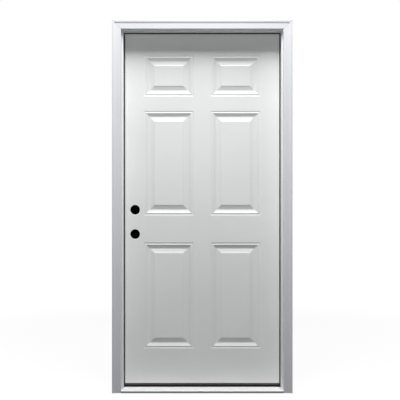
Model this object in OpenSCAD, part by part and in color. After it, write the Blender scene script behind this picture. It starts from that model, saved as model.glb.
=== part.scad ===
// Six-panel entry door, prehung in its frame: embossed steel slab, rabbeted jambs,
// mitred brickmould and an adjustable sill. The door opens inward on three butt hinges.
// X runs across the doorway, -Y is outdoors, +Y is indoors and Z is up. X = 0 is the middle
// of the doorway, Y = 0 is the back of the brickmould and Z = 0 is the underside of the sill.

/* [Door slab] */
// Width of the slab
slab_w = 908.05; // [750:0.05:1100]
// Height of the slab
slab_h = 2009.8; // [1650:0.1:2420]
// Thickness of the slab
slab_t = 44.45; // [36:0.05:56]
// Thickness of each steel skin
skin_t = 0.6; // [0.4:0.1:1]
// How far each skin wraps round the lock and hinge edges
skin_return = 11; // [8:0.5:16]
// Width of the timber stiles hidden at both edges
core_stile_w = 28; // [20:1:40]
// Height of the timber rails hidden at the top and bottom
core_rail_h = 34; // [25:1:60]

/* [Panel layout] */
// Flat margin beside the panels at both edges
stile_w = 117.5; // [100:0.5:140]
// Flat margin between the two columns of panels
mullion_w = 92.1; // [60:0.1:130]
// Flat margin above the top panels
top_rail_w = 130.9; // [90:0.1:170]
// Height of the small top panels
top_panel_h = 240.5; // [190:0.5:300]
// Flat margin between the top and middle panels
cross_rail_w = 76.9; // [50:0.1:120]
// Height of the middle panels
middle_panel_h = 605.4; // [500:0.1:730]
// Flat margin between the middle and bottom panels
lock_rail_w = 148.4; // [110:0.1:180]
// Flat margin below the bottom panels
bottom_rail_w = 195; // [140:0.5:240]

/* [Panel moulding] */
// Inset of the floor of the small groove that outlines each panel
groove_inset = 10; // [6:0.1:11]
// Depth of that groove
groove_d = 2.2; // [1:0.1:2.5]
// Depth of the bead inside the groove below the flat face
bead_d = 0.35; // [0.2:0.05:0.6]
// Inset of the slope behind the bead
slope_inset = 16.4; // [13:0.1:20]
// Inset of the valley's outer edge
valley_inset = 33; // [28:0.5:40]
// Slope beside the bead, in degrees
slope_steep = 32; // [27:1:38]
// Slope beside the valley, in degrees
slope_shallow = 19; // [15:1:22]
// Inset of the raised field
field_inset = 64.5; // [53:0.5:78]
// Depth of the raised field below the flat face
field_d = 0.8; // [0.7:0.1:3]

/* [Frame] */
// Depth of the jambs, front to back
jamb_depth = 115.9; // [100:0.1:170]
// Thickness of the jambs beside the slab
jamb_t = 19.05; // [16:0.05:30]
// How far the stop stands out from the jamb
stop_proj = 9.525; // [8:0.025:16]
// Clearance round the slab's edges
edge_gap = 3.175; // [2.6:0.025:5]
// Space for the weatherstrip between the stop and the slab
seal_gap = 6.45; // [5:0.05:9]
// Height of the slab's bottom edge above the underside of the sill
slab_lift = 39.15; // [36:0.05:60]

/* [Brickmould] */
// Width of the brickmould
mould_w = 50.8; // [40:0.1:90]
// Thickness of the brickmould
mould_t = 31.75; // [26:0.25:40]
// Thickness at the brickmould's inner edge
mould_edge_t = 24; // [20:0.5:29]
// Width of the raised band along the outer edge
mould_band_w = 11.5; // [8:0.5:15]
// Width of jamb that shows beside the brickmould
reveal_side = 9.525; // [4:0.025:14]
// Width of head jamb that shows below the brickmould
reveal_head = 7.4; // [4:0.1:12]

/* [Sill] */
// How far the sill's nose stands out from the jambs
nose_y = 32; // [20:1:60]
// Height of the tread at the nose
nose_h = 12; // [10:0.5:16]
// Height of the tread in front of the slab
tread_h = 17; // [15:0.5:22]
// Wall of the aluminium tread
tread_t = 1.8; // [1.2:0.1:2.5]
// Height of the channel floor under the cap
channel_z = 8; // [6:0.5:10]
// Height of the top of the sill cap
cap_top = 29.2; // [27:0.1:32]
// Depth of the sill cap, front to back
cap_w = 40.5; // [34:0.5:44]
// Number of adjusting screws in the cap
cap_screws = 5; // [3:1:7]

/* [Weatherstrip] */
// How far the side strips show beyond the stops
seal_side_proj = 6.4; // [3:0.1:9]
// How far the head strip shows below the stop
seal_head_proj = 6.4; // [3:0.1:11]
// Width of the kerf that holds the strip
kerf_w = 3.2; // [2.5:0.1:4]
// Depth of the kerf
kerf_d = 12; // [8:0.5:14]

/* [Hinges] */
// Height of each hinge
hinge_h = 101.6; // [85:0.1:125]
// Distance from the slab's indoor face to the hinge pin
pin_proj = 12.7; // [9:0.1:16]
// Thickness of a leaf
leaf_t = 2.4; // [2:0.1:3]
// Corner radius of a leaf
leaf_r = 15.9; // [4:0.1:18]
// Distance from the slab's outdoor face to the leaf's far edge
leaf_backset = 6.35; // [4:0.05:9]
// Outer radius of the knuckles
knuckle_r = 5.9; // [5:0.1:7]
// Radius of the hinge pin
pin_r = 3.2; // [2.5:0.1:3.8]
// Radial clearance of the pin in the knuckles
pin_clear = 0.06; // [0.02:0.01:0.1]
// Distance from the slab's top edge down to the top hinge
hinge_top_gap = 177.8; // [120:0.1:220]
// Distance from the slab's bottom edge up to the bottom hinge
hinge_bottom_gap = 279.4; // [150:0.1:300]

/* [Lock holes] */
// Diameter of the holes through the face of the slab
lock_bore_d = 54; // [50:0.5:56]
// Distance from the slab's lock edge to the centre of those holes
backset = 69.85; // [60:0.05:75]
// Height of the lower hole above the slab's bottom edge
lock_height = 852.2; // [800:0.1:960]
// Distance between the two holes
lock_spacing = 139.7; // [120:0.1:160]
// Diameter of the latch holes in the slab's edge
latch_bore_d = 25.4; // [20:0.1:30]
// Diameter of the strike holes in the jamb
strike_bore_d = 22.2; // [18:0.1:27]
// Height of the faceplate and strike mortises
plate_h = 57.15; // [50:0.05:62]
// Width of the faceplate and strike mortises
plate_w = 25.4; // [22:0.1:28]
// Depth of the faceplate mortises
faceplate_d = 3.2; // [2:0.1:4]
// Depth of the strike mortises
strike_d = 2; // [1:0.1:3]

/* [Hidden] */
$fn = 48;

// Past this far a cut clears the face it starts from
over = 1;

// The slab
slab_x = slab_w / 2;
slab_z0 = slab_lift;
slab_z1 = slab_z0 + slab_h;
slab_y0 = jamb_depth - slab_t;
slab_y1 = jamb_depth;
slab_mid_y = (slab_y0 + slab_y1) / 2;

// The frame
rabbet_x = slab_x + edge_gap;
stop_x = rabbet_x - stop_proj;
frame_x = rabbet_x + jamb_t;
stop_y = slab_y0 - seal_gap;
rabbet_z = slab_z1 + edge_gap;
stop_z = rabbet_z - stop_proj;
frame_z = rabbet_z + jamb_t;

// The brickmould
mould_x0 = stop_x + reveal_side;
mould_x1 = mould_x0 + mould_w;
mould_z0 = stop_z + reveal_head;
mould_z1 = mould_z0 + mould_w;

// The panels: centre height and height of each row, and centre of each column
panel_w = (slab_w - 2 * stile_w - mullion_w) / 2;
panel_x = (mullion_w + panel_w) / 2;
bottom_panel_h = slab_h - top_rail_w - top_panel_h - cross_rail_w - middle_panel_h
    - lock_rail_w - bottom_rail_w;
top_panel_z = slab_z1 - top_rail_w - top_panel_h / 2;
middle_panel_z = top_panel_z - top_panel_h / 2 - cross_rail_w - middle_panel_h / 2;
bottom_panel_z = slab_z0 + bottom_rail_w + bottom_panel_h / 2;
panel_rows = [
    [top_panel_z, top_panel_h],
    [middle_panel_z, middle_panel_h],
    [bottom_panel_z, bottom_panel_h]
];

// The panel moulding, as [inset from the panel's edge, depth below the flat face]
groove_start = 2;
groove_floor = 1.4;
slope_steps = 6;
slope_radius = (valley_inset - slope_inset) / (sin(slope_steep) - sin(slope_shallow));
valley_d = bead_d + slope_radius * (cos(slope_shallow) - cos(slope_steep));
valley_w = 6;
groove_profile = [
    [groove_start, -over], [groove_start, 0],
    [groove_inset, groove_d]
];
bead_top = 1;
bead_soft = [1.4, 0.3];
bead_profile = [
    [slope_inset - bead_top, bead_d],
    [slope_inset - bead_top - bead_soft[0], bead_d + bead_soft[1]],
    [groove_inset + groove_floor, groove_d], [groove_inset + groove_floor, groove_d + over]
];
slope_profile = concat(
    [[slope_inset, -over]],
    [for (i = [0:slope_steps])
        let (a = slope_steep + (slope_shallow - slope_steep) * i / slope_steps)
        [slope_inset + slope_radius * (sin(slope_steep) - sin(a)),
         bead_d + slope_radius * (cos(a) - cos(slope_steep))]]
);
field_edge = [3, 1.2];
field_profile = [
    [field_inset, field_d], [field_inset - field_edge[0], field_d + field_edge[1]],
    [valley_inset + valley_w, valley_d], [valley_inset + valley_w, valley_d + over]
];
skin_depth = max(skin_return, valley_d + 2 * skin_t);
bond = 0.1;

// The lock holes
bore_x = -slab_x + backset;
bore_z = [slab_z0 + lock_height, slab_z0 + lock_height + lock_spacing];
plate_r = 6.35;
block_side = 12;
block_end = 60;
lock_block_x = bore_x + lock_bore_d / 2 + block_side;
lock_block_z = [bore_z[0] - block_end, bore_z[1] + block_end];

// The hinges
pin_x = (slab_x + rabbet_x) / 2;
pin_y = slab_y1 + pin_proj;
leaf_y0 = slab_y0 + leaf_backset;
hinge_z_top = slab_z1 - hinge_top_gap - hinge_h / 2;
hinge_z_bottom = slab_z0 + hinge_bottom_gap + hinge_h / 2;
hinge_z = [hinge_z_top, (hinge_z_top + hinge_z_bottom) / 2, hinge_z_bottom];
knuckles = 5;
knuckle_h = hinge_h / knuckles;
knuckle_gap = 0.3;
knuckle_clear = 0.5;
// Leaf screws, as [distance from the leaf's far edge, share of the hinge's height]
leaf_holes = [[13, 0.38], [25, 0.13], [13, -0.13], [25, -0.38]];
leaf_screw_r = 2.4;
leaf_head_r = 4.6;
screw_cover = 2;
jamb_screw_l = jamb_t - screw_cover;
door_screw_l = core_stile_w - screw_cover;
screw_clear = 0.05;

// The sill
cap_setback = 0.6;
cap_lift = 1.5;
cap_front_gap = 1.2;
cap_back_gap = 0.5;
cap_end_gap = 0.5;
cap_y0 = slab_y0 + cap_setback;
cap_y1 = cap_y0 + cap_w;
cap_z0 = channel_z + tread_t + cap_lift;
cap_x = rabbet_x - cap_end_gap;
deck_y1 = cap_y0 - cap_front_gap;
channel_y1 = cap_y1 + cap_back_gap + tread_t;
cap_screw_r = 2.5;
cap_screw_z0 = 2;
cap_head_r = 5;
cap_head_h = 4;
cap_head_sink = 2;
cap_head_clear = 0.2;
cap_head_z = cap_top - cap_head_sink - cap_head_h;

// Screws through the jambs into the head and the sill
frame_screw_r = 2;
frame_head_r = 3.6;
frame_screw_l = 60;
frame_screw_edge = 23.2;
sill_screw_y = [frame_screw_edge, jamb_depth - frame_screw_edge];
head_screw_y = [frame_screw_edge, jamb_depth / 2, jamb_depth - frame_screw_edge];
sill_screw_cover = 0.6;
sill_screw_z = frame_head_r + sill_screw_cover;

// The seals
soft_gap = 0.3;
seal_t = seal_gap - soft_gap;
kerf_inset = 1;
pad_clear = 1.85;
pad_t = edge_gap - pad_clear;
pad_w = 26;
pad_h = 50;
sweep_z = cap_top + soft_gap;
sweep_plate_t = 2;
sweep_x = slab_x - 1;

white = [0.93, 0.93, 0.92];
dark_bronze = [0.2, 0.17, 0.15];
timber = [0.85, 0.72, 0.5];

// A block between low and high limits on each axis
module span(x, y, z) {
    translate([x[0], y[0], z[0]]) cube([x[1] - x[0], y[1] - y[0], z[1] - z[0]]);
}

// A bar along X whose section is drawn as [y, z]
module bar_x(x) {
    translate([x[0], 0, 0]) rotate([90, 0, 90]) linear_extrude(x[1] - x[0]) children();
}

// A bar along Y whose section is drawn as [x, z]
module bar_y(y) {
    translate([0, y[1], 0]) rotate([90, 0, 0]) linear_extrude(y[1] - y[0]) children();
}

// A bar along Z whose section is drawn as [x, y]
module bar_z(z) {
    translate([0, 0, z[0]]) linear_extrude(z[1] - z[0]) children();
}

// A rod along X
module rod_x(x, y, z, r) {
    translate([x[0], y, z]) rotate([0, 90, 0]) cylinder(r = r, h = x[1] - x[0]);
}

// A rod along Y
module rod_y(x, y, z, r) {
    translate([x, y[1], z]) rotate([90, 0, 0]) cylinder(r = r, h = y[1] - y[0]);
}

// A countersunk screw that points along +Z, with its head's face at the origin
module screw(r, head_r, length) {
    slot_w = 1;
    slot_d = 1.1;
    difference() {
        union() {
            cylinder(r1 = head_r, r2 = r, h = head_r - r);
            cylinder(r = r, h = length);
        }
        for (turn = [0, 90])
            rotate([0, 0, turn]) translate([-head_r / 2, -slot_w / 2, -over])
                cube([head_r, slot_w, over + slot_d]);
    }
}

// The hole that such a screw needs, with its countersink
module screw_hole(r, head_r, length) {
    translate([0, 0, -screw_clear]) {
        cylinder(r1 = head_r + screw_clear, r2 = r + screw_clear, h = head_r - r);
        cylinder(r = r + screw_clear, h = length + 2 * screw_clear);
    }
}

// A rectangle with four round corners, centred
module round_plate(w, h, r) {
    square([w - 2 * r, h], center = true);
    square([w, h - 2 * r], center = true);
    for (x = [-1, 1], y = [-1, 1])
        translate([x * (w / 2 - r), y * (h / 2 - r)]) circle(r = r);
}

// ---- Embossed panels ----

// A block sunk into or standing in the face, with the same sloping profile on its four sides
module sloped_block(w, h, profile) {
    last = len(profile) - 1;
    intersection() {
        bar_z([-h / 2, h / 2]) polygon(concat(
            [for (p = profile) [p[0] - w / 2, p[1]]],
            [for (i = [last:-1:0]) [w / 2 - profile[i][0], profile[i][1]]]));
        bar_x([-w / 2, w / 2]) polygon(concat(
            [for (p = profile) [p[1], p[0] - h / 2]],
            [for (i = [last:-1:0]) [profile[i][1], h / 2 - profile[i][0]]]));
    }
}

// What embossing takes out of a flat face at Y = 0, for all six panels
module panel_recesses() {
    for (row = panel_rows, side = [-1, 1]) translate([side * panel_x, 0, row[0]]) {
        difference() {
            sloped_block(panel_w, row[1], groove_profile);
            sloped_block(panel_w, row[1], bead_profile);
        }
        difference() {
            sloped_block(panel_w, row[1], slope_profile);
            sloped_block(panel_w, row[1], field_profile);
        }
    }
}

// An embossed slab of the given half width and depth, with its face at Y = 0
module embossed_block(x, depth, extra) {
    difference() {
        span([-x, x], [0, depth], [slab_z0 - extra, slab_z1 + extra]);
        panel_recesses();
    }
}

// ---- Lock holes and hinge seats shared by several pieces ----

module face_bores() {
    for (z = bore_z)
        rod_y(bore_x, [slab_y0 - over, slab_y1 + over], z, lock_bore_d / 2);
}

module edge_bores() {
    for (z = bore_z)
        rod_x([-slab_x - over, bore_x], slab_mid_y, z, latch_bore_d / 2);
}

module faceplate_mortises() {
    for (z = bore_z)
        bar_x([-slab_x - over, -slab_x + faceplate_d])
            translate([slab_mid_y, z]) round_plate(plate_w, plate_h, plate_r);
}

// A leaf's outline as [y, z], from its far edge to y1, around the height z
module leaf_outline(z, y1) {
    translate([leaf_y0, z]) {
        translate([leaf_r, -hinge_h / 2]) square([y1 - leaf_y0 - leaf_r, hinge_h]);
        translate([0, -hinge_h / 2 + leaf_r])
            square([y1 - leaf_y0, hinge_h - 2 * leaf_r]);
        for (side = [-1, 1])
            translate([leaf_r, side * (hinge_h / 2 - leaf_r)]) circle(r = leaf_r);
    }
}

// Mortises for all three leaves between two values of X
module leaf_mortises(x) {
    for (z = hinge_z) bar_x(x) leaf_outline(z, slab_y1 + over);
}

// Children at each leaf screw of one hinge, with +Z of the child pointing along +X or -X
module at_leaf_screws(x, z, side) {
    for (p = leaf_holes)
        translate([x, leaf_y0 + p[0], z + p[1] * hinge_h])
            rotate([0, side * 90, 0]) children();
}

// ---- Door slab ----

module skin() {
    difference() {
        embossed_block(slab_x, skin_depth, 0);
        translate([0, skin_t, 0]) embossed_block(slab_x - skin_t, skin_depth, over);
    }
}

module skin_cuts() {
    face_bores();
    faceplate_mortises();
    leaf_mortises([slab_x - leaf_t, slab_x + over]);
}

module exterior_skin() {
    color(white) difference() {
        translate([0, slab_y0, 0]) skin();
        skin_cuts();
    }
}

module interior_skin() {
    color(white) difference() {
        translate([0, slab_y1, 0]) mirror([0, 1, 0]) skin();
        skin_cuts();
    }
}

module foam_core() {
    inset = skin_t + bond;
    x = slab_x - core_stile_w;
    color([0.95, 0.9, 0.7]) difference() {
        span([-x, x], [slab_y0 + inset, slab_y1 - inset],
            [slab_z0 + core_rail_h, slab_z1 - core_rail_h]);
        translate([0, slab_y0 + inset, 0]) panel_recesses();
        translate([0, slab_y1 - inset, 0]) mirror([0, 1, 0]) panel_recesses();
        span([-x - over, lock_block_x], [slab_y0, slab_y1], lock_block_z);
    }
}

// A timber stile along the slab's edge at +X, with rabbets under the skins' returns
module edge_stile() {
    difference() {
        span([slab_x - core_stile_w, slab_x], [slab_y0 + skin_t, slab_y1 - skin_t],
            [slab_z0, slab_z1]);
        for (y = [slab_y0, slab_y1 - skin_depth])
            span([slab_x - skin_t, slab_x + over], [y, y + skin_depth],
                [slab_z0 - over, slab_z1 + over]);
    }
}

module hinge_stile() {
    color(timber) difference() {
        edge_stile();
        leaf_mortises([slab_x - leaf_t, slab_x + over]);
        for (z = hinge_z) at_leaf_screws(slab_x, z, -1)
            screw_hole(leaf_screw_r, leaf_head_r, door_screw_l);
    }
}

module lock_stile() {
    color(timber) difference() {
        mirror([1, 0, 0]) edge_stile();
        faceplate_mortises();
        edge_bores();
    }
}

module edge_rail(z) {
    x = slab_x - core_stile_w;
    color(timber) span([-x, x], [slab_y0 + skin_t, slab_y1 - skin_t], z);
}

module top_rail() {
    edge_rail([slab_z1 - core_rail_h, slab_z1]);
}

module bottom_rail() {
    edge_rail([slab_z0, slab_z0 + core_rail_h]);
}

module lock_block() {
    color(timber) difference() {
        span([-slab_x + core_stile_w, lock_block_x],
            [slab_y0 + skin_t, slab_y1 - skin_t], lock_block_z);
        face_bores();
        edge_bores();
    }
}

// Vinyl sweep: a plate under the slab with a flap in front and three fins behind
module door_sweep() {
    flap_t = 1.6;
    fin_t = 1.2;
    fin_foot_r = 1.2;
    color(dark_bronze) bar_x([-sweep_x, sweep_x]) {
        translate([slab_y0 + soft_gap, slab_z0 - sweep_plate_t])
            square([slab_t - 2 * soft_gap, sweep_plate_t]);
        translate([slab_y0 + soft_gap, sweep_z]) square([flap_t, slab_z0 - sweep_z]);
        for (share = [0.3, 0.55, 0.8]) translate([slab_y0 + share * slab_t, 0]) {
            translate([-fin_t / 2, sweep_z + fin_foot_r])
                square([fin_t, slab_z0 - sweep_z - fin_foot_r]);
            translate([0, sweep_z + fin_foot_r]) circle(r = fin_foot_r);
        }
    }
}

// ---- Frame ----

// A side jamb's section at +X: the leg, the stop and the kerf for the weatherstrip
module side_jamb() {
    kerf_x = rabbet_x - kerf_inset - kerf_w;
    difference() {
        union() {
            span([rabbet_x, frame_x], [0, jamb_depth], [0, frame_z]);
            span([stop_x, frame_x], [0, stop_y], [0, rabbet_z]);
        }
        span([kerf_x, kerf_x + kerf_w], [stop_y - kerf_d, stop_y + over],
            [-over, rabbet_z]);
        at_frame_screws() screw_hole(frame_screw_r, frame_head_r, frame_screw_l);
    }
}

module hinge_jamb() {
    color(white) difference() {
        side_jamb();
        leaf_mortises([rabbet_x - over, rabbet_x + leaf_t]);
        for (z = hinge_z) at_leaf_screws(rabbet_x, z, 1)
            screw_hole(leaf_screw_r, leaf_head_r, jamb_screw_l);
    }
}

module strike_jamb() {
    color(white) difference() {
        mirror([1, 0, 0]) side_jamb();
        for (z = bore_z) {
            bar_x([-rabbet_x - strike_d, -rabbet_x + over])
                translate([slab_mid_y, z]) round_plate(plate_w, plate_h, plate_r);
            rod_x([-frame_x - over, -rabbet_x + over], slab_mid_y, z, strike_bore_d / 2);
        }
    }
}

module head_jamb() {
    kerf_z = rabbet_z - kerf_inset - kerf_w;
    color(white) difference() {
        union() {
            span([-rabbet_x, rabbet_x], [0, jamb_depth], [rabbet_z, frame_z]);
            span([-stop_x, stop_x], [0, stop_y], [stop_z, frame_z]);
        }
        span([-stop_x - over, stop_x + over], [stop_y - kerf_d, stop_y + over],
            [kerf_z, kerf_z + kerf_w]);
        for (side = [0, 1]) mirror([side, 0, 0])
            at_frame_screws() screw_hole(frame_screw_r, frame_head_r, frame_screw_l);
    }
}

// Children at each screw through the jamb at +X, pointing at the doorway
module at_frame_screws() {
    for (y = head_screw_y)
        translate([frame_x, y, (rabbet_z + frame_z) / 2]) rotate([0, -90, 0]) children();
    for (y = sill_screw_y)
        translate([frame_x, y, sill_screw_z]) rotate([0, -90, 0]) children();
}

module frame_screws() {
    color([0.75, 0.75, 0.78]) for (side = [0, 1]) mirror([side, 0, 0])
        at_frame_screws() screw(frame_screw_r, frame_head_r, frame_screw_l);
}

// Points along an arc from angle a0 to a1
function arc(cx, cy, r, a0, a1, steps) =
    [for (i = [0:steps]) let (a = a0 + (a1 - a0) * i / steps)
        [cx + r * cos(a), cy + r * sin(a)]];

// The brickmould's section as [distance from its inner edge, distance from the wall]:
// a rounded inner edge, a flat face, a hollow that sweeps up to a raised outer band
module mould_section() {
    round_r = 4;
    edge_soft = 0.8;
    band_step = 1;
    hollow_r = 24;
    hollow_a = 25;
    band_x = mould_w - mould_band_w;
    polygon(concat(
        [[0, 0]],
        arc(round_r, mould_edge_t, round_r, 180, 85, 6),
        arc(band_x - hollow_r * sin(hollow_a), mould_t - band_step + hollow_r * cos(hollow_a),
            hollow_r, 270, 270 + hollow_a, 6),
        arc(band_x + edge_soft, mould_t - edge_soft, edge_soft, 180, 90, 3),
        arc(mould_w - edge_soft, mould_t - edge_soft, edge_soft, 90, 0, 2),
        [[mould_w, 0]]
    ));
}

// The leg of brickmould at +X, mitred at its top
module mould_leg() {
    intersection() {
        bar_z([0, mould_z1]) translate([mould_x0, 0]) mirror([0, 1]) mould_section();
        bar_y([-mould_t - over, over]) polygon([
            [mould_x0 - over, -over], [mould_x1 + over, -over],
            [mould_x1 + over, mould_z1 + over], [mould_x0 - over, mould_z0 - over]]);
    }
}

module brickmould_left() {
    color(white) mirror([1, 0, 0]) mould_leg();
}

module brickmould_right() {
    color(white) mould_leg();
}

module brickmould_head() {
    color(white) intersection() {
        bar_x([-mould_x1, mould_x1])
            translate([0, mould_z0]) rotate(90) mould_section();
        bar_y([-mould_t - over, over]) polygon([
            [-mould_x0 + over, mould_z0 - over], [mould_x0 - over, mould_z0 - over],
            [mould_x1 + over, mould_z1 + over], [-mould_x1 - over, mould_z1 + over]]);
    }
}

// ---- Sill ----

// Height of the tread's upper face at a distance y behind the jambs' outdoor edge
function deck_z(y) = nose_h + (tread_h - nose_h) * (y + nose_y) / (deck_y1 + nose_y);

// A bar across the doorway, notched round the stops
module sill_bar() {
    difference() {
        bar_x([-rabbet_x, rabbet_x]) children();
        for (side = [0, 1]) mirror([side, 0, 0])
            span([stop_x, rabbet_x + over], [0, stop_y], [-over, cap_top]);
    }
}

module at_cap_screws() {
    pitch = 2 * cap_x / cap_screws;
    for (i = [0:cap_screws - 1])
        translate([-cap_x + pitch * (i + 0.5), (cap_y0 + cap_y1) / 2, 0]) children();
}

module sill_substrate() {
    front = -nose_y + tread_t;
    color([0.45, 0.42, 0.4]) difference() {
        sill_bar() polygon([
            [front, 0], [front, deck_z(front) - tread_t],
            [deck_y1 - tread_t, deck_z(deck_y1 - tread_t) - tread_t],
            [deck_y1 - tread_t, channel_z], [channel_y1, channel_z], [channel_y1, 0]]);
        at_cap_screws() translate([0, 0, cap_screw_z0])
            cylinder(r = cap_screw_r + screw_clear, h = channel_z);
        for (side = [0, 1]) mirror([side, 0, 0])
            at_frame_screws() screw_hole(frame_screw_r, frame_head_r, frame_screw_l);
    }
}

// Aluminium tread: nose, sloping deck with ribs, and the channel that holds the cap
module sill_tread() {
    rib_w = 1.6;
    rib_h = 0.7;
    rib_root = 0.5;
    nose_r = 2.5;
    color([0.78, 0.79, 0.8]) difference() {
        sill_bar() {
            polygon([
                [-nose_y, 0], [-nose_y + tread_t, 0],
                [-nose_y + tread_t, deck_z(-nose_y + tread_t) - tread_t],
                [deck_y1 - tread_t, deck_z(deck_y1 - tread_t) - tread_t],
                [deck_y1 - tread_t, channel_z], [deck_y1, channel_z],
                [deck_y1, deck_z(deck_y1)],
                [-nose_y + nose_r, deck_z(-nose_y + nose_r)],
                [-nose_y + nose_r * 0.3, nose_h - nose_r * 0.3],
                [-nose_y, nose_h - nose_r]]);
            translate([deck_y1 - tread_t, channel_z])
                square([channel_y1 - deck_y1 + tread_t, tread_t]);
            translate([channel_y1 - tread_t, channel_z])
                square([tread_t, tread_h - channel_z]);
            for (share = [0.2, 0.32, 0.44, 0.56, 0.68]) {
                y = -nose_y + share * (deck_y1 + nose_y);
                translate([y - rib_w / 2, deck_z(y) - rib_root])
                    square([rib_w, rib_root + rib_h]);
            }
        }
        at_cap_screws() translate([0, 0, channel_z - over])
            cylinder(r = cap_screw_r + screw_clear, h = tread_t + 2 * over);
    }
}

module sill_cap() {
    soft = 2;
    color(dark_bronze) difference() {
        bar_x([-cap_x, cap_x]) polygon([
            [cap_y0, cap_z0], [cap_y0, cap_top - soft], [cap_y0 + soft, cap_top],
            [cap_y1 - soft, cap_top], [cap_y1, cap_top - soft], [cap_y1, cap_z0]]);
        at_cap_screws() {
            translate([0, 0, cap_z0 - over])
                cylinder(r = cap_screw_r + screw_clear, h = cap_top);
            translate([0, 0, cap_head_z])
                cylinder(r = cap_head_r + cap_head_clear, h = cap_top);
        }
    }
}

// Adjusting screws: each stands in the substrate and carries the cap
module sill_cap_screws() {
    slot_l = 6;
    slot_w = 1.2;
    slot_d = 1.2;
    color([0.7, 0.6, 0.35]) at_cap_screws() difference() {
        union() {
            translate([0, 0, cap_screw_z0])
                cylinder(r = cap_screw_r, h = cap_head_z - cap_screw_z0 + over);
            translate([0, 0, cap_head_z]) cylinder(r = cap_head_r, h = cap_head_h);
        }
        for (turn = [0, 90]) rotate([0, 0, turn])
            translate([-slot_l / 2, -slot_w / 2, cap_head_z + cap_head_h - slot_d])
                cube([slot_l, slot_w, slot_d + over]);
    }
}

// ---- Seals ----

// The strip's section beside the corner of a rabbet: [distance from the rabbet, y].
// A barb in the kerf, a backing along the stop and a foam bulb that shows beyond it
module seal_section(proj) {
    r = seal_t / 2;
    kerf_clear = 0.25;
    kerf_end = 1.5;
    backing_t = 2.4;
    barb = kerf_w - 2 * kerf_clear;
    barb_x = kerf_inset + kerf_clear;
    bulb_end = stop_proj + proj - r;
    bulb_start = barb_x + barb + r;
    translate([barb_x, stop_y - kerf_d + kerf_end]) square([barb, kerf_d]);
    translate([barb_x, stop_y]) square([bulb_end - barb_x, backing_t]);
    translate([bulb_start, stop_y]) square([bulb_end - bulb_start, seal_t]);
    for (x = [bulb_start, bulb_end]) translate([x, stop_y + r]) circle(r = r);
}

module side_seal() {
    color([0.12, 0.12, 0.12])
        bar_z([deck_z(stop_y + seal_t) + soft_gap, rabbet_z])
            translate([rabbet_x, 0]) mirror([1, 0]) seal_section(seal_side_proj);
}

module weatherstrip_hinge_side() {
    side_seal();
}

module weatherstrip_strike_side() {
    mirror([1, 0, 0]) side_seal();
}

module weatherstrip_head() {
    half = stop_x - seal_side_proj;
    color([0.12, 0.12, 0.12])
        bar_x([-half, half])
            translate([0, rabbet_z]) mirror([0, 1]) rotate(90) mirror([0, 1])
                seal_section(seal_head_proj);
}

module corner_pad() {
    y = slab_y0 + soft_gap;
    z = cap_top + soft_gap;
    color([0.15, 0.15, 0.15]) span([rabbet_x - pad_t, rabbet_x], [y, y + pad_w], [z, z + pad_h]);
}

module corner_pad_hinge_side() {
    corner_pad();
}

module corner_pad_strike_side() {
    mirror([1, 0, 0]) corner_pad();
}

// ---- Hinges ----

// The stretch of knuckle number i, from the bottom, of a hinge centred at the height z
function knuckle_span(z, i) = [
    z - hinge_h / 2 + i * knuckle_h + (i == 0 ? 0 : knuckle_gap / 2),
    z - hinge_h / 2 + (i + 1) * knuckle_h - (i == knuckles - 1 ? 0 : knuckle_gap / 2)
];

// A leaf between two values of X, with its own knuckles cut clear of the others
module leaf(x, z, own, other, side) {
    color([0.72, 0.7, 0.66]) difference() {
        union() {
            difference() {
                bar_x(x) leaf_outline(z, pin_y);
                for (i = other) bar_z(knuckle_span(z, i) + [-knuckle_gap, knuckle_gap])
                    translate([pin_x, pin_y]) circle(r = knuckle_r + knuckle_clear);
            }
            for (i = own) bar_z(knuckle_span(z, i))
                translate([pin_x, pin_y]) circle(r = knuckle_r);
        }
        translate([pin_x, pin_y, z - hinge_h]) cylinder(r = pin_r + pin_clear, h = 2 * hinge_h);
        at_leaf_screws(side > 0 ? rabbet_x : slab_x, z, side)
            screw_hole(leaf_screw_r, leaf_head_r, leaf_t + over);
    }
}

module jamb_leaf(z) {
    leaf([rabbet_x, rabbet_x + leaf_t], z, [0, 2, 4], [1, 3], 1);
}

module door_leaf(z) {
    leaf([slab_x - leaf_t, slab_x], z, [1, 3], [0, 2, 4], -1);
}

module pin(z) {
    head_h = 2.5;
    dome_h = 1.2;
    dome_r = knuckle_r - 2;
    tip_h = 2;
    color([0.72, 0.7, 0.66]) translate([pin_x, pin_y, z]) {
        translate([0, 0, -hinge_h / 2 - tip_h])
            cylinder(r = pin_r, h = hinge_h + tip_h + head_h / 2);
        translate([0, 0, hinge_h / 2]) cylinder(r = knuckle_r, h = head_h);
        translate([0, 0, hinge_h / 2 + head_h])
            cylinder(r1 = knuckle_r, r2 = dome_r, h = dome_h);
    }
}

module top_hinge_jamb_leaf() {
    jamb_leaf(hinge_z[0]);
}

module middle_hinge_jamb_leaf() {
    jamb_leaf(hinge_z[1]);
}

module bottom_hinge_jamb_leaf() {
    jamb_leaf(hinge_z[2]);
}

module top_hinge_door_leaf() {
    door_leaf(hinge_z[0]);
}

module middle_hinge_door_leaf() {
    door_leaf(hinge_z[1]);
}

module bottom_hinge_door_leaf() {
    door_leaf(hinge_z[2]);
}

module top_hinge_pin() {
    pin(hinge_z[0]);
}

module middle_hinge_pin() {
    pin(hinge_z[1]);
}

module bottom_hinge_pin() {
    pin(hinge_z[2]);
}

module jamb_leaf_screws() {
    color([0.72, 0.7, 0.66]) for (z = hinge_z) at_leaf_screws(rabbet_x, z, 1)
        screw(leaf_screw_r, leaf_head_r, jamb_screw_l);
}

module door_leaf_screws() {
    color([0.72, 0.7, 0.66]) for (z = hinge_z) at_leaf_screws(slab_x, z, -1)
        screw(leaf_screw_r, leaf_head_r, door_screw_l);
}

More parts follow.
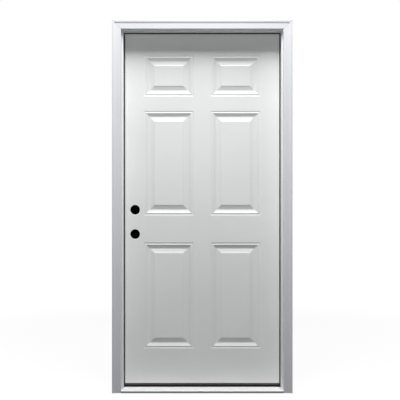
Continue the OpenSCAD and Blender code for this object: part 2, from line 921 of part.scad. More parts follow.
exterior_skin();
interior_skin();
foam_core();
hinge_stile();
lock_stile();
top_rail();
bottom_rail();
lock_block();
door_sweep();
hinge_jamb();
strike_jamb();
head_jamb();
brickmould_left();
brickmould_right();
brickmould_head();
sill_substrate();
sill_tread();
sill_cap();
sill_cap_screws();
frame_screws();
weatherstrip_hinge_side();
weatherstrip_strike_side();
weatherstrip_head();
corner_pad_hinge_side();
corner_pad_strike_side();
top_hinge_jamb_leaf();
middle_hinge_jamb_leaf();
bottom_hinge_jamb_leaf();
top_hinge_door_leaf();
middle_hinge_door_leaf();
bottom_hinge_door_leaf();
top_hinge_pin();
middle_hinge_pin();
bottom_hinge_pin();
jamb_leaf_screws();
door_leaf_screws();
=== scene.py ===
"""White six-panel entry door in its frame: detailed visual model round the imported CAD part."""
import math

import bmesh
import bpy
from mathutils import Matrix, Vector
from mathutils.geometry import delaunay_2d_cdt


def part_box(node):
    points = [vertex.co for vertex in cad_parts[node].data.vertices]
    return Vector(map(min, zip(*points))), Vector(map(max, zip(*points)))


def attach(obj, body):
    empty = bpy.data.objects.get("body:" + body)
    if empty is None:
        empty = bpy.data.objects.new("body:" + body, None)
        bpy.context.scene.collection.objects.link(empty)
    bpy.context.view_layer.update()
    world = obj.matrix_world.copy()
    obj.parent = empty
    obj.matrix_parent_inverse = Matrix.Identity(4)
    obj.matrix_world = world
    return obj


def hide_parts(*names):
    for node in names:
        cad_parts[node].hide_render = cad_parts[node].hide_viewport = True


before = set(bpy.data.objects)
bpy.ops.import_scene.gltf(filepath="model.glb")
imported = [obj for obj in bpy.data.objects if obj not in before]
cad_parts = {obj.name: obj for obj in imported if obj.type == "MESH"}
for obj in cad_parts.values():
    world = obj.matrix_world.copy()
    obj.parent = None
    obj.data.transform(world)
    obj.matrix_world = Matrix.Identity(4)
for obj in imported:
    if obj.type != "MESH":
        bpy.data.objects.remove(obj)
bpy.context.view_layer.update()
MM = 0.001
X, Y, Z = 0, 1, 2
SHARP_ANGLE = math.radians(35)
WELD = 1e-6


# ---------------------------------------------------------------- node graph helper
class Graph:
    """The node tree of a new material, or of the world, with short calls for its nodes."""

    def __init__(self, name, world=None):
        self.material = world or bpy.data.materials.new(name)
        self.material.use_nodes = True
        self.tree = self.material.node_tree
        self.tree.nodes.clear()
        self.out = self.add("ShaderNodeOutput" + ("World" if world else "Material"))

    def add(self, kind, **props):
        node = self.tree.nodes.new(kind)
        for key, value in props.items():
            setattr(node, key, value)
        return node

    def put(self, socket, value):
        """Links another node's output to the socket, or sets the socket's own value."""
        if isinstance(value, bpy.types.NodeSocket):
            self.tree.links.new(value, socket)
        elif isinstance(value, (tuple, list)) and len(value) == 3 and socket.type == "RGBA":
            socket.default_value = (*value, 1)
        else:
            socket.default_value = value

    def shader(self, **inputs):
        """The material's Principled shader, with its inputs by name."""
        bsdf = self.add("ShaderNodeBsdfPrincipled")
        for key, value in inputs.items():
            self.put(bsdf.inputs[key.replace("_", " ")], value)
        self.tree.links.new(bsdf.outputs[0], self.out.inputs["Surface"])

    def place(self, scale=(1, 1, 1), offset=(0, 0, 0)):
        """Object coordinates in metres, stretched by scale."""
        coords = self.add("ShaderNodeTexCoord").outputs["Object"]
        mapping = self.add("ShaderNodeMapping")
        self.put(mapping.inputs["Vector"], coords)
        mapping.inputs["Scale"].default_value = scale
        mapping.inputs["Location"].default_value = offset
        return mapping.outputs[0]

    def noise(self, vector, scale, detail, roughness, distortion=0.0):
        node = self.add("ShaderNodeTexNoise")
        self.put(node.inputs["Vector"], vector)
        node.inputs["Scale"].default_value = scale
        node.inputs["Detail"].default_value = detail
        node.inputs["Roughness"].default_value = roughness
        node.inputs["Distortion"].default_value = distortion
        return node.outputs["Fac"]

    def math(self, operation, a, b=0.0, c=0.0, clamp=False):
        node = self.add("ShaderNodeMath", operation=operation, use_clamp=clamp)
        for socket, value in zip(node.inputs, (a, b, c)):
            self.put(socket, value)
        return node.outputs[0]

    def remap(self, value, low, high, new_low=0.0, new_high=1.0, smooth=False):
        node = self.add("ShaderNodeMapRange", clamp=True)
        if smooth:
            node.interpolation_type = "SMOOTHSTEP"
        for key, v in zip(("Value", "From Min", "From Max", "To Min", "To Max"),
                          (value, low, high, new_low, new_high)):
            self.put(node.inputs[key], v)
        return node.outputs["Result"]

    def blend(self, factor, a, b):
        node = self.add("ShaderNodeMix", data_type="RGBA")
        colour_a, colour_b = [s for s in node.inputs if s.type == "RGBA"]
        self.put(node.inputs["Factor"], factor)
        self.put(colour_a, a)
        self.put(colour_b, b)
        return next(s for s in node.outputs if s.type == "RGBA")

    def eased(self, radius):
        """Normals that round every edge off by a small radius."""
        node = self.add("ShaderNodeBevel", samples=4)
        node.inputs["Radius"].default_value = radius
        return node.outputs[0]

    def bump(self, height, distance, normal=None):
        node = self.add("ShaderNodeBump")
        self.put(node.inputs["Height"], height)
        node.inputs["Distance"].default_value = distance
        node.inputs["Strength"].default_value = 1
        if normal is not None:
            self.put(node.inputs["Normal"], normal)
        return node.outputs[0]

    def split(self, vector):
        node = self.add("ShaderNodeSeparateXYZ")
        self.put(node.inputs[0], vector)
        return node.outputs


def along(axis, fine, coarse):
    """Scales per metre for a texture drawn out along one axis."""
    return tuple(coarse if i == axis else fine for i in range(3))


# ---------------------------------------------------------------- materials
def enamel(name, light, dark):
    """Satin enamel on steel sheet: faint orange peel, slow waves of the sheet, soft cloudiness."""
    g = Graph(name)
    here = g.place()
    cloud = g.noise(here, 2.6, 3, 0.55)
    speck = g.noise(here, 380, 2, 0.6)
    tone = g.math("ADD", g.remap(cloud, 0.35, 0.65, 0, 0.8), g.remap(speck, 0.3, 0.7, 0, 0.2))
    colour = g.blend(tone, dark, light)
    sheen = g.remap(g.noise(here, 28, 4, 0.6), 0.3, 0.7, 0.36, 0.47)
    waves = g.bump(g.noise(here, 5.5, 2, 0.45), 0.15 * MM)
    peel = g.bump(g.noise(here, 720, 2, 0.5), 0.035 * MM, waves)
    g.shader(Base_Color=colour, Roughness=sheen, Normal=peel, Metallic=0.0,
             IOR=1.5, Coat_Weight=0.12, Coat_Roughness=0.28)
    return g.material


def primed_wood(name, axis, light, dark, block_length=0.43):
    """White paint on finger-jointed softwood: grain and joints show faintly through it."""
    g = Graph(name)
    here = g.place()
    grain = g.noise(g.place(along(axis, 420, 9)), 1, 5, 0.62, 0.3)
    figure = g.noise(g.place(along(axis, 60, 1.6)), 1, 3, 0.5, 0.6)
    # blocks along the piece, each of its own tone, that meet at zigzag finger joints
    position = g.split(here)
    fingers = g.math("PINGPONG", position[Y], 3.2 * MM)
    shifted = g.math("MULTIPLY_ADD", fingers, 3.4, position[axis])
    blocks = g.math("ADD", g.math("DIVIDE", shifted, block_length), 0.37)
    tone = g.add("ShaderNodeTexWhiteNoise", noise_dimensions="1D")
    g.put(tone.inputs["W"], g.math("FLOOR", blocks))
    seam = g.math("ABSOLUTE", g.math("SUBTRACT", g.math("FRACT", blocks), 0.5))
    joint = g.remap(seam, 0.4982, 0.4995)
    mix = g.math("ADD", g.remap(figure, 0.3, 0.7, 0, 0.5),
                 g.math("MULTIPLY", tone.outputs["Value"], 0.3))
    mix = g.math("ADD", mix, g.remap(grain, 0.3, 0.75, 0, 0.2))
    mix = g.math("SUBTRACT", mix, g.math("MULTIPLY", joint, 0.5), clamp=True)
    colour = g.blend(mix, dark, light)
    sheen = g.remap(g.noise(here, 35, 3, 0.6), 0.3, 0.7, 0.5, 0.62)
    relief = g.bump(grain, 0.025 * MM, g.eased(0.9 * MM))
    relief = g.bump(g.noise(here, 850, 2, 0.5), 0.012 * MM, relief)
    relief = g.bump(joint, -0.04 * MM, relief)
    g.shader(Base_Color=colour, Roughness=sheen, Normal=relief, IOR=1.48)
    return g.material


def bare_wood(name, axis, pale, deep):
    """Planed softwood: rings drawn out along the grain, pores and a few darker streaks."""
    g = Graph(name)
    stretched = g.place(along(axis, 34, 0.9), (0.3, 0.1, 0.2))
    warp = g.noise(stretched, 1, 3, 0.5, 0.8)
    side = g.split(g.place())[X if axis != X else Z]
    ring = g.math("MULTIPLY_ADD", warp, 5.5, g.math("MULTIPLY", side, 90))
    band = g.math("POWER", g.math("PINGPONG", ring, 1.0), 2.2)
    fibre = g.noise(g.place(along(axis, 900, 14)), 1, 4, 0.65)
    tone = g.math("ADD", g.math("MULTIPLY", band, 0.62), g.remap(fibre, 0.3, 0.7, 0, 0.38))
    colour = g.blend(tone, pale, deep)
    relief = g.bump(fibre, 0.08 * MM)
    relief = g.bump(band, -0.05 * MM, relief)
    g.shader(Base_Color=colour, Roughness=g.remap(fibre, 0.3, 0.7, 0.62, 0.78), Normal=relief)
    return g.material


def drawn_metal(name, axis, light, dark, rough, metallic, line=1400, depth=0.012, nose=None):
    """Metal with fine lines along its drawing or brushing direction, and slight scuffs.

    nose gives the Y of a front edge whose face is painted a darker grey than the top: painted shade
    for a face that light from above leaves dark.
    """
    g = Graph(name)
    lines = g.noise(g.place(along(axis, line, 6)), 1, 3, 0.6)
    wide = g.noise(g.place(along(axis, 130, 1.5)), 1, 2, 0.5)
    scuff = g.noise(g.place(), 60, 4, 0.7, 1.2)
    tone = g.math("ADD", g.remap(lines, 0.3, 0.7, 0, 0.55), g.remap(wide, 0.3, 0.7, 0, 0.45))
    colour = g.blend(tone, dark, light)
    if nose is not None:
        # painted shade: the nose's front face gets a darker grey than the rest of the metal
        behind = g.remap(g.split(g.place())[Y], nose + 0.2 * MM, nose + 0.9 * MM)
        nose_painted_shade = g.blend(tone, (0.36, 0.362, 0.366), (0.45, 0.452, 0.456))
        colour = g.blend(behind, nose_painted_shade, colour)
    gloss = g.math("ADD", g.remap(lines, 0.3, 0.7, rough[0], rough[1]),
                   g.remap(scuff, 0.55, 0.75, 0, 0.08))
    relief = g.bump(lines, depth * MM)
    relief = g.bump(scuff, 0.02 * MM, relief)
    g.shader(Base_Color=colour, Roughness=gloss, Normal=relief, Metallic=metallic)
    return g.material


def soft_matte(name, light, dark, rough, pore, pore_depth, axis=None, ior=1.45):
    """Foam, vinyl or moulded composite: fine pores, drawn-out streaks where it is extruded."""
    g = Graph(name)
    here = g.place()
    pores = g.noise(here, pore, 3, 0.6)
    streak = g.noise(g.place(along(axis, 260, 3)) if axis is not None else here, 1, 3, 0.6)
    tone = g.math("ADD", g.remap(pores, 0.3, 0.7, 0, 0.5), g.remap(streak, 0.3, 0.7, 0, 0.5))
    relief = g.bump(pores, pore_depth * MM)
    if axis is not None:
        relief = g.bump(streak, 0.05 * MM, relief)
    g.shader(Base_Color=g.blend(tone, dark, light), Normal=relief, IOR=ior,
             Roughness=g.remap(streak, 0.3, 0.7, *rough))
    return g.material


door_paint = enamel("door_enamel", (0.865, 0.878, 0.872), (0.835, 0.848, 0.842))
white_wood = (0.85, 0.858, 0.87), (0.80, 0.808, 0.822)
jamb_upright = primed_wood("jamb_paint_upright", Z, *white_wood)
jamb_across = primed_wood("jamb_paint_across", X, *white_wood)
trim_tint = (0.825, 0.838, 0.87), (0.785, 0.798, 0.832)
trim_upright = primed_wood("trim_paint_upright", Z, *trim_tint)
trim_across = primed_wood("trim_paint_across", X, *trim_tint)
pine = (0.74, 0.56, 0.36), (0.52, 0.34, 0.18)
pine_upright = bare_wood("pine_upright", Z, *pine)
pine_across = bare_wood("pine_across", X, *pine)
# lock block wood, partly painted shade: its very dark brown makes the bore walls read as unlit
block_wood_painted_shade = bare_wood("lock_block_wood", Z, (0.27, 0.2, 0.15), (0.15, 0.105, 0.075))
foam = soft_matte("rigid_foam", (0.86, 0.78, 0.55), (0.74, 0.66, 0.42), (0.7, 0.85), 300, 0.3)
vinyl = soft_matte("sweep_vinyl_brown", (0.115, 0.088, 0.082), (0.075, 0.058, 0.054),
                   (0.38, 0.5), 900, 0.03, X)
composite = soft_matte("sill_composite_grey", (0.17, 0.165, 0.16), (0.115, 0.11, 0.106),
                       (0.6, 0.8), 340, 0.2, X)
# dark bronze composite cap, partly painted shade: made near black for the shade under the door
# sweep
bronze_and_shade = soft_matte("cap_composite_dark_and_shade", (0.018, 0.013, 0.0125), (0.010, 0.0075, 0.0072),
                    (0.6, 0.74), 700, 0.05, X, 1.3)
seal = soft_matte("seal_skin_black", (0.035, 0.033, 0.034), (0.016, 0.016, 0.017),
                  (0.55, 0.72), 620, 0.12, Z)
pad = soft_matte("pad_foam_black", (0.04, 0.04, 0.042), (0.02, 0.02, 0.021), (0.8, 0.9), 480, 0.3)
# painted shade on the tread: its nose face is a darker grey than its top
aluminium = drawn_metal("sill_aluminium_satin", X, (0.97, 0.972, 0.975), (0.92, 0.923, 0.93),
                        (0.36, 0.48), 0.08, 1100, 0.02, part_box("sill_tread")[0].y)
nickel = drawn_metal("hinge_satin_nickel", Z, (0.74, 0.715, 0.67), (0.60, 0.58, 0.545),
                     (0.24, 0.38), 0.95)
zinc = drawn_metal("zinc_plate", Y, (0.75, 0.76, 0.80), (0.58, 0.60, 0.66), (0.3, 0.45), 0.95)
brass = drawn_metal("plain_brass", Y, (0.82, 0.66, 0.34), (0.66, 0.5, 0.24), (0.25, 0.4), 1.0)

FINISHES = {
    "exterior_skin": door_paint, "interior_skin": door_paint, "foam_core": foam,
    "hinge_stile": pine_upright, "lock_stile": pine_upright, "lock_block": block_wood_painted_shade,
    "top_rail": pine_across, "bottom_rail": pine_across, "door_sweep": vinyl,
    "hinge_jamb": jamb_upright, "strike_jamb": jamb_upright, "head_jamb": jamb_across,
    "brickmould_left": trim_upright, "brickmould_right": trim_upright,
    "brickmould_head": trim_across, "sill_substrate": composite, "sill_tread": aluminium,
    "sill_cap": bronze_and_shade, "sill_cap_screws": brass, "frame_screws": zinc,
    "weatherstrip_hinge_side": seal, "weatherstrip_strike_side": seal, "weatherstrip_head": seal,
    "corner_pad_hinge_side": pad, "corner_pad_strike_side": pad,
    "jamb_leaf_screws": nickel, "door_leaf_screws": nickel,
}
for name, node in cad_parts.items():
    node.data.materials[0] = FINISHES.get(name, nickel)


# ---------------------------------------------------------------- door skins
SKIN_LO, SKIN_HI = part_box("exterior_skin")
BACK_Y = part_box("interior_skin")[1].y
SLAB_X, FRONT_Y = SKIN_HI.x, SKIN_LO.y
SLAB_Z0, SLAB_Z1 = SKIN_LO.z, SKIN_HI.z
SHEET_T = 0.6 * MM
BEND_R = 1.4 * MM
RETURN = 11 * MM

# Panel layout of the slab, as in the CAD part
PANEL_W = 290.475 * MM
PANEL_X = 191.2875 * MM
PANEL_R = 3 * MM
TOP_MARGIN, TOP_H, CROSS_W = 130.9 * MM, 240.5 * MM, 76.9 * MM
MIDDLE_H, LOCK_RAIL, BOTTOM_MARGIN = 605.4 * MM, 148.4 * MM, 195 * MM
BORE_X, BORE_R = -SLAB_X + 69.85 * MM, 27 * MM
BORE_Z = [SLAB_Z0 + 852.2 * MM, SLAB_Z0 + 991.9 * MM]
FACEPLATE_W, FACEPLATE_H = 25.4 * MM, 57.15 * MM
HINGE_H, LEAF_T, LEAF_R = 101.6 * MM, 2.4 * MM, 15.9 * MM
LEAF_Y0 = FRONT_Y + 6.35 * MM
LEAF_STEPS = 8
HINGES = [name + "_hinge_door_leaf" for name in ("top", "middle", "bottom")]

# The sheet's round holes at the bores, whose rims turn in
HOLE_R = BORE_R + 0.5 * MM
RIM_REACH, RIM_DEPTH = 1.1 * MM, 0.55 * MM
RIM_LEAN = 0.1  # how much the rim's normals lean outward over the true ones
RIM_STEPS = 5
RING_STEPS = 72

# The embossing's section: [inset from the panel's edge, depth below the flat face], in mm
SECTION = [
    (0, 0), (1.5, 0.02), (3, 0.14), (4.4, 0.5), (5.8, 0.96), (7.2, 1.4), (8.6, 1.72), (9.8, 1.82),
    (10.8, 1.76), (11.8, 1.5), (12.8, 1.14), (13.8, 0.8), (14.8, 0.55), (15.9, 0.46), (16.7, 0.6),
    (17.8, 0.96), (19.2, 1.52), (21, 2.28), (23, 3.12), (25, 3.96), (27, 4.8), (29, 5.64),
    (31, 6.4), (33, 7.02), (35, 7.44), (36.8, 7.64), (38.4, 7.66), (40, 7.48), (42, 7.1),
    (44, 6.64), (48, 5.72), (52, 4.76), (56, 3.7), (58, 3.08), (60, 2.36), (61.5, 1.74),
    (62.8, 1.22), (64, 0.9), (65.2, 0.8), (67, 0.8),
]


def smooth_curve(points, steps=3):
    """Catmull-Rom samples through the points, with the slope at each."""
    out = []
    last = len(points) - 1
    for i in range(last):
        p0, p1 = points[max(i - 1, 0)], points[i]
        p2, p3 = points[i + 1], points[min(i + 2, last)]
        for s in range(steps + (i == last - 1)):
            t = s / steps
            value, slope = [], []
            for a, b, c, d in zip(p0, p1, p2, p3):
                value.append(0.5 * (2 * b + (c - a) * t + (2 * a - 5 * b + 4 * c - d) * t * t
                                    + (3 * b - a - 3 * c + d) * t ** 3))
                slope.append(0.5 * ((c - a) + 2 * (2 * a - 5 * b + 4 * c - d) * t
                                    + 3 * (3 * b - a - 3 * c + d) * t * t))
            out.append((value, slope))
    return out


def round_rect(cx, cz, w, h, r, steps=4):
    """Points round a rectangle with round corners, and the outward direction at each."""
    points = []
    for quarter, (sx, sz) in enumerate(((1, 1), (-1, 1), (-1, -1), (1, -1))):
        for k in range(steps + 1):
            a = math.radians(90 * (quarter + k / steps))
            d = (math.cos(a), math.sin(a))
            points.append(((cx + sx * (w / 2 - r) + r * d[0], cz + sz * (h / 2 - r) + r * d[1]), d))
    return points


def circle(cx, cz, r):
    """Points round a circle, and the outward direction at each."""
    points = []
    for k in range(RING_STEPS):
        a = math.tau * k / RING_STEPS
        d = (math.cos(a), math.sin(a))
        points.append(((cx + r * d[0], cz + r * d[1]), d))
    return points


def lay_out_panels():
    """Centre X, centre Z, width and height of each panel, from the top row down."""
    panels = []
    z = SLAB_Z1 - TOP_MARGIN
    for height, gap in ((TOP_H, CROSS_W), (MIDDLE_H, LOCK_RAIL), (None, 0)):
        height = height or z - SLAB_Z0 - BOTTOM_MARGIN
        panels += [(side * PANEL_X, z - height / 2, PANEL_W, height) for side in (-1, 1)]
        z -= height + gap
    return panels


PANELS = lay_out_panels()
WINDOWS = [[p for p, _ in round_rect(*panel, PANEL_R)] for panel in PANELS]


def fill_plane(loops, extra=()):
    """Triangles over the plane that keep every loop, and every extra pair of points, as edges."""
    verts, edges = [], []
    for loop in loops:
        start = len(verts)
        verts += [Vector(p) for p in loop]
        edges += [(start + k, start + (k + 1) % len(loop)) for k in range(len(loop))]
    for pair in extra:
        edges.append((len(verts), len(verts) + 1))
        verts += [Vector(p) for p in pair]
    plane, _, tris, *_ = delaunay_2d_cdt(verts, edges, [], 0, 1e-7)
    return plane, tris


def add_object(name, data):
    """A new object with the data, in the scene."""
    made = bpy.data.objects.new(name, data)
    bpy.context.scene.collection.objects.link(made)
    return made


def to_piece(bm, name, material):
    """A new object from the mesh, in the scene, with one material."""
    mesh = bpy.data.meshes.new(name)
    bm.to_mesh(mesh)
    bm.free()
    mesh.set_sharp_from_angle(angle=SHARP_ANGLE)
    mesh.materials.append(material)
    return add_object(name, mesh)


def inside(point, loop):
    """Whether the point lies within the closed loop."""
    x, y = point
    hit = False
    for (x0, y0), (x1, y1) in zip(loop, loop[1:] + loop[:1]):
        if (y0 > y) != (y1 > y) and x < (x1 - x0) * (y - y0) / (y1 - y0) + x0:
            hit = not hit
    return hit


def kept(plane, tris, outline, gaps):
    """The triangles within the outline and outside every gap."""
    for tri in tris:
        centre = sum((plane[i] for i in tri), Vector((0, 0))) / len(tri)
        if inside(centre, outline) and not any(inside(centre, gap) for gap in gaps):
            yield tri


class Sheet:
    """A thin sheet built from points on its outer face, each with its normal."""

    def __init__(self):
        self.points, self.normals, self.faces, self.found = [], [], [], {}

    def point(self, p, n):
        """The index of the point at p, which is added with normal n if it is new."""
        at = Vector(p)
        key = tuple(round(c, 6) for c in at)
        if key not in self.found:
            self.found[key] = len(self.points)
            self.points.append(at)
            self.normals.append(Vector(n).normalized())
        return self.found[key]

    def build(self, name, thickness):
        """The closed mesh: faces turned to look along their normals, the inner side and rims."""
        count = len(self.points)
        faces = []
        for f in self.faces:
            f = [i for k, i in enumerate(f) if i != f[k - 1]]
            if len(f) < 3:
                continue
            normal = sum((self.points[f[k - 1]].cross(self.points[f[k]])
                          for k in range(len(f))), Vector())
            if normal.dot(sum((self.normals[i] for i in f), Vector())) < 0:
                f = f[::-1]
            faces.append(f)
        edges = dict.fromkeys(edge for f in faces for edge in zip(f, f[1:] + f[:1]))
        rims = [[b, a, a + count, b + count] for a, b in edges if (b, a) not in edges]
        verts = self.points + [p - n * thickness for p, n in zip(self.points, self.normals)]
        inner = [[i + count for i in reversed(f)] for f in faces]
        mesh = bpy.data.meshes.new(name)
        mesh.from_pydata(verts, [], faces + inner + rims)
        mesh.update()
        loops = []
        for index, face in enumerate(mesh.polygons):
            face.use_smooth = True
            for v in face.vertices:
                if index < len(faces):
                    loops.append(self.normals[v])
                elif index < 2 * len(faces):
                    loops.append(-self.normals[v - count])
                else:
                    loops.append(face.normal.copy())
        mesh.normals_split_custom_set([tuple(n) for n in loops])
        return add_object(name, mesh)


def door_skin(name, face_y, sign):
    """One stamped skin. sign is +1 where depth runs along +Y, and -1 on the indoor side."""
    flat_end = SLAB_X - BEND_R
    bend = math.pi / 2 * BEND_R
    total = flat_end + bend + RETURN - BEND_R
    bend_steps = 5

    def fold(u, z):
        """Where a point of the unfolded sheet goes, and its normal."""
        side, reach = (1 if u > 0 else -1), abs(u)
        if reach <= flat_end:
            return (u, face_y, z), (0, -sign, 0)
        a = min((reach - flat_end) / BEND_R, math.pi / 2)
        depth = BEND_R * (1 - math.cos(a)) + max(reach - flat_end - bend, 0)
        return ((side * (flat_end + BEND_R * math.sin(a)), face_y + sign * depth, z),
                (side * math.sin(a), -sign * math.cos(a), 0))

    def unfold(y):
        """Distance across the unfolded sheet to depth y of its long edge."""
        return flat_end + bend + abs(y - face_y) - BEND_R

    outline = [(-total, SLAB_Z0), (total, SLAB_Z0), (total, SLAB_Z1), (-total, SLAB_Z1)]
    holes = []
    for z in BORE_Z:
        # faceplate mortise in the lock edge
        u, half = unfold((FRONT_Y + BACK_Y) / 2 - sign * FACEPLATE_W / 2), FACEPLATE_H / 2
        holes.append([(-total - MM, z - half), (-u, z - half), (-u, z + half),
                      (-total - MM, z + half)])
    for leaf in HINGES:
        lo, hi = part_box(leaf)
        z, half = (lo.z + hi.z) / 2, HINGE_H / 2
        if sign > 0:
            loop = [(total + MM, z - half)]
            for s in (-1, 1):
                for k in range(LEAF_STEPS + 1):
                    a = math.radians(90 * (k if s < 0 else LEAF_STEPS - k) / LEAF_STEPS)
                    loop.append((unfold(LEAF_Y0 + LEAF_R * (1 - math.sin(a))),
                                 z + s * (half - LEAF_R * (1 - math.cos(a)))))
            loop.append((total + MM, z + half))
        else:
            u = SLAB_X - LEAF_T
            loop = [(total + MM, z - half), (u, z - half), (u, z + half), (total + MM, z + half)]
        holes.append(loop)
    rounds = [[p for p, _ in circle(BORE_X, z, HOLE_R + RIM_REACH)] for z in BORE_Z]
    folds = [side * (flat_end + bend * k / bend_steps)
             for side in (-1, 1) for k in range(bend_steps + 1)]
    gaps = holes + rounds + WINDOWS
    plane, tris = fill_plane([outline] + gaps, [((u, SLAB_Z0), (u, SLAB_Z1)) for u in folds])
    sheet = Sheet()
    for tri in kept(plane, tris, outline, gaps):
        sheet.faces.append([sheet.point(*fold(*plane[i])) for i in tri])

    curve = smooth_curve(SECTION)
    for x, z, w, h in PANELS:
        previous = None
        for (inset, depth), (d_inset, d_depth) in curve:
            ring = []
            shrink = inset * MM
            for (px, pz), (dx, dz) in round_rect(x, z, w - 2 * shrink, h - 2 * shrink, PANEL_R):
                normal = (-dx * d_depth, -sign * d_inset, -dz * d_depth)
                at = (px, face_y + sign * depth * MM, pz)
                ring.append(sheet.point(at, normal))
            if previous:
                for k in range(len(ring)):
                    sheet.faces.append([previous[k - 1], previous[k], ring[k], ring[k - 1]])
            previous = ring
        middle = sheet.point((x, face_y + sign * SECTION[-1][1] * MM, z), (0, -sign, 0))
        for k in range(len(previous)):
            sheet.faces.append([previous[k - 1], previous[k], middle])

    # the rim of each bore turns in
    for z in BORE_Z:
        previous = None
        for step in range(RIM_STEPS + 1):
            a = math.pi / 2 * step / RIM_STEPS
            depth = RIM_DEPTH * (1 - math.cos(a))
            sideways, outward = (1 - RIM_LEAN) * math.sin(a), math.cos(a) + RIM_LEAN
            ring = []
            for (px, pz), (c, s) in circle(BORE_X, z, HOLE_R + RIM_REACH * (1 - math.sin(a))):
                normal = (-c * sideways, -sign * outward, -s * sideways)
                ring.append(sheet.point((px, face_y + sign * depth, pz), normal))
            if previous:
                for k in range(len(ring)):
                    sheet.faces.append([previous[k - 1], previous[k], ring[k], ring[k - 1]])
            previous = ring
    piece = sheet.build(name, SHEET_T)
    piece.data.materials.append(door_paint)
    return piece


SKINS = []
for name, node, face_y, sign in (("stamped_skin_outdoor", "exterior_skin", FRONT_Y, 1),
                                 ("stamped_skin_indoor", "interior_skin", BACK_Y, -1)):
    skin = door_skin(name, face_y, sign)
    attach(skin, "door")
    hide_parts(node)
    SKINS.append(skin)


def foam_block():
    """The foam between the skins, with the embossing pressed into both of its faces."""
    low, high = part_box("foam_core")
    notch_low, notch_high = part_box("lock_block")
    clear = 0.2 * MM
    outline = [(low.x, low.z), (high.x, low.z), (high.x, high.z), (low.x, high.z),
               (low.x, notch_high.z), (notch_high.x, notch_high.z),
               (notch_high.x, notch_low.z), (low.x, notch_low.z)]
    plane, tris = fill_plane([outline] + WINDOWS)
    front, back = FRONT_Y + SHEET_T + clear, BACK_Y - SHEET_T - clear
    bm = bmesh.new()
    for level, sign in ((front, 1), (back, -1)):
        corners = [bm.verts.new((x, level, z)) for x, z in plane]
        for tri in kept(plane, tris, outline, WINDOWS):
            bm.faces.new([corners[i] for i in tri])
        for x, z, w, h in PANELS:
            previous = None
            for inset, depth in SECTION:
                shape = round_rect(x, z, w - 2 * inset * MM, h - 2 * inset * MM, PANEL_R)
                ring = [bm.verts.new((px, level + sign * depth * MM, pz))
                        for (px, pz), _ in shape]
                if previous:
                    for k in range(len(ring)):
                        bm.faces.new((previous[k - 1], previous[k], ring[k], ring[k - 1]))
                previous = ring
            bm.faces.new(previous)
    for (x0, z0), (x1, z1) in zip(outline, outline[1:] + outline[:1]):
        bm.faces.new([bm.verts.new(c) for c in ((x0, front, z0), (x1, front, z1),
                                                (x1, back, z1), (x0, back, z0))])
    bmesh.ops.remove_doubles(bm, verts=bm.verts[:], dist=WELD)
    bmesh.ops.recalc_face_normals(bm, faces=bm.faces[:])
    piece = to_piece(bm, "pressed_foam", foam)
    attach(piece, "door")
    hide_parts("foam_core")


foam_block()


# ---------------------------------------------------------------- brickmould
# Runs round the section: [distance from the inner edge, distance from the wall], in mm
MOULD = [
    [(0, 0), (0, 23.9)],
    [(0, 23.9), (0.2, 25.4), (0.85, 26.7), (1.95, 27.6), (3.3, 27.95), (4.6, 28),
     (8, 28.04), (13, 28.12), (19, 28.25), (25, 28.4), (29, 28.52), (32, 28.72),
     (34.5, 29.2), (36.6, 29.85), (38.2, 30.5), (39, 30.86)],
    [(39, 30.86), (39.25, 31.1), (39.5, 31.5), (40, 31.72), (41, 31.75), (49.8, 31.75),
     (50.3, 31.64), (50.65, 31.34), (50.8, 30.9)],
    [(50.8, 30.9), (50.8, 0)],
    [(50.8, 0), (0, 0)],
]
MITRE_GAP = 0.38 * MM
INNER_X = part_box("brickmould_right")[0].x
INNER_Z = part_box("brickmould_head")[0].z


def brickmould(name, node, kind):
    """Sweeps the section along one side; kind is -1, 1 or 0 for left, right and head."""
    bm = bmesh.new()

    def corner(u, v, end):
        """A point of the section at the low or left end (0) or at the other end (1)."""
        u, v = u * MM, v * MM
        if kind:
            top = INNER_Z + u - MITRE_GAP if end else 0
            return kind * (INNER_X + u), -v, top
        return (1 if end else -1) * (INNER_X + u - MITRE_GAP), -v, INNER_Z + u

    ends = [[], []]
    for run in MOULD:
        curved = len(run) > 2
        points = [p for p, _ in smooth_curve(run, 2)] if curved else run
        rows = []
        for end in (0, 1):
            rows.append([bm.verts.new(corner(u, v, end)) for u, v in points])
            ends[end] += [r.co.copy() for r in rows[end][:-1]]
        for k in range(len(points) - 1):
            face = bm.faces.new((rows[0][k], rows[0][k + 1], rows[1][k + 1], rows[1][k]))
            face.smooth = curved
    for end in ends:
        bm.faces.new([bm.verts.new(co) for co in end])
    bmesh.ops.remove_doubles(bm, verts=bm.verts[:], dist=WELD)
    bmesh.ops.recalc_face_normals(bm, faces=bm.faces[:])
    piece = to_piece(bm, name, FINISHES[node])
    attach(piece, "frame")
    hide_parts(node)


for name, node, kind in (("mould_left", "brickmould_left", -1),
                         ("mould_right", "brickmould_right", 1),
                         ("mould_head", "brickmould_head", 0)):
    brickmould(name, node, kind)


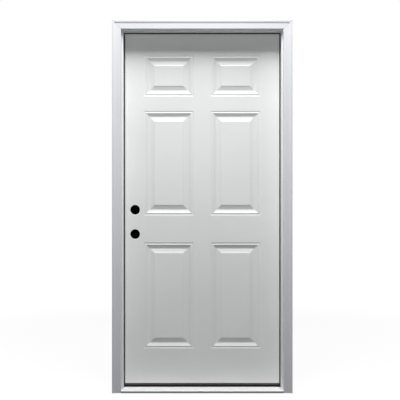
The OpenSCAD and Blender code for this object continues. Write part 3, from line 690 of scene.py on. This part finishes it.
# ---------------------------------------------------------------- studio
def floor(size, drop):
    """A pale floor: near white to the camera, and dull to the light that it would throw back."""
    bpy.ops.mesh.primitive_plane_add(size=size, location=(0, 2, -drop))
    plane = bpy.context.object
    plane.name = "studio_floor"
    g = Graph("studio_floor_pale")
    reach = g.add("ShaderNodeVectorMath", operation="LENGTH")
    g.put(reach.inputs[0], g.place())
    light = g.add("ShaderNodeEmission")
    g.put(light.inputs["Strength"], g.remap(reach.outputs["Value"], 0.8, 4, 0.9, 1, smooth=True))
    lit = g.add("ShaderNodeBsdfDiffuse")
    lit.inputs["Color"].default_value = (0.07, 0.07, 0.07, 1)
    dull = g.add("ShaderNodeBsdfDiffuse")
    dull.inputs["Color"].default_value = (0.12, 0.12, 0.12, 1)
    shown = g.add("ShaderNodeAddShader")
    g.put(shown.inputs[0], light.outputs[0])
    g.put(shown.inputs[1], lit.outputs[0])
    pick = g.add("ShaderNodeMixShader")
    g.put(pick.inputs[0], g.add("ShaderNodeLightPath").outputs["Is Camera Ray"])
    g.put(pick.inputs[1], dull.outputs[0])
    g.put(pick.inputs[2], shown.outputs[0])
    g.put(g.out.inputs["Surface"], pick.outputs[0])
    plane.data.materials.append(g.material)


def room(fill_strength):
    """A white room that fills the shadows."""
    world = bpy.data.worlds.new("studio")
    bpy.context.scene.world = world
    g = Graph("room", world)
    shown = g.add("ShaderNodeBackground")
    shown.inputs["Color"].default_value = (1, 1, 1, 1)
    fill = g.add("ShaderNodeBackground")
    fill.inputs["Color"].default_value = (0.96, 0.98, 1, 1)
    fill.inputs["Strength"].default_value = fill_strength
    pick = g.add("ShaderNodeMixShader")
    g.put(pick.inputs[0], g.add("ShaderNodeLightPath").outputs["Is Camera Ray"])
    g.put(pick.inputs[1], fill.outputs[0])
    g.put(pick.inputs[2], shown.outputs[0])
    g.put(g.out.inputs["Surface"], pick.outputs[0])


def painted_shade_cards():
    """Painted shade: a plain black card halfway into each lock bore, a dark sheet that stands for
    the shade seen through the bores and hides what lies behind the door.
    """
    g = Graph("painted_shade_black")
    black = g.add("ShaderNodeBsdfDiffuse")
    black.inputs["Color"].default_value = (0, 0, 0, 1)
    g.put(g.out.inputs["Surface"], black.outputs[0])
    for index, z in enumerate(BORE_Z):
        ring = [(px, (FRONT_Y + BACK_Y) / 2, pz) for (px, pz), _ in circle(BORE_X, z, BORE_R)]
        mesh = bpy.data.meshes.new("painted_shade_card")
        mesh.from_pydata(ring, [], [list(range(len(ring)))])
        mesh.materials.append(g.material)
        card = add_object(f"painted_shade_card_{index}", mesh)
        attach(card, "door")


def area_light(name, where, target, width, height, watts, only=None):
    """A soft light, which may light only the given pieces."""
    data = bpy.data.lights.new(name, "AREA")
    data.shape = "RECTANGLE"
    data.size, data.size_y, data.energy = width, height, watts
    lamp = add_object(name, data)
    lamp.location = where
    lamp.visible_camera = False
    lamp.rotation_mode = "QUATERNION"
    lamp.rotation_quaternion = (Vector(target) - Vector(where)).to_track_quat("-Z", "Y")
    if only:
        lit = bpy.data.collections.new(name + "_pieces")
        for piece in only:
            lit.objects.link(piece)
        lamp.light_linking.receiver_collection = lit


floor(size=24, drop=0.5 * MM)
room(fill_strength=0.03)
# painted shade: a black card in each lock bore
painted_shade_cards()
area_light("key", (-0.02, -1.45, 4.67), (0, 0.03, 1.5), 1.4, 1.5, 185)
area_light("front_fill", (0, -1.6, 1.6), (0, 0.05, 1.4), 1.2, 1.2, 5.4)
area_light("door_fill", (0, -2.0, 0.7), (0, 0.05, 1.0), 1.6, 1.2, 2.6, only=SKINS)
area_light("back_key", (-0.3, 2.2, 4.7), (0, 0.1, 1.2), 1.8, 1.5, 100)
area_light("back_fill", (0, 3.2, 1.4), (0, 0.1, 1.1), 2.4, 1.8, 9)
area_light("side_left", (-3.2, 1.3, 2.2), (-0.4, 0.1, 1.0), 1.8, 1.8, 30)
area_light("side_right", (3.2, 1.3, 2.2), (0.4, 0.1, 1.0), 1.8, 1.8, 30)

camera_data = bpy.data.cameras.new("camera")
camera_data.lens = 89.1
camera_data.sensor_width = 36
camera = add_object("camera", camera_data)
camera.location = (-0.0126, -5.6, 1.087)
camera.rotation_euler = (math.radians(90), 0, 0)
bpy.context.scene.camera = camera
bpy.context.scene.view_settings.view_transform = "Standard"
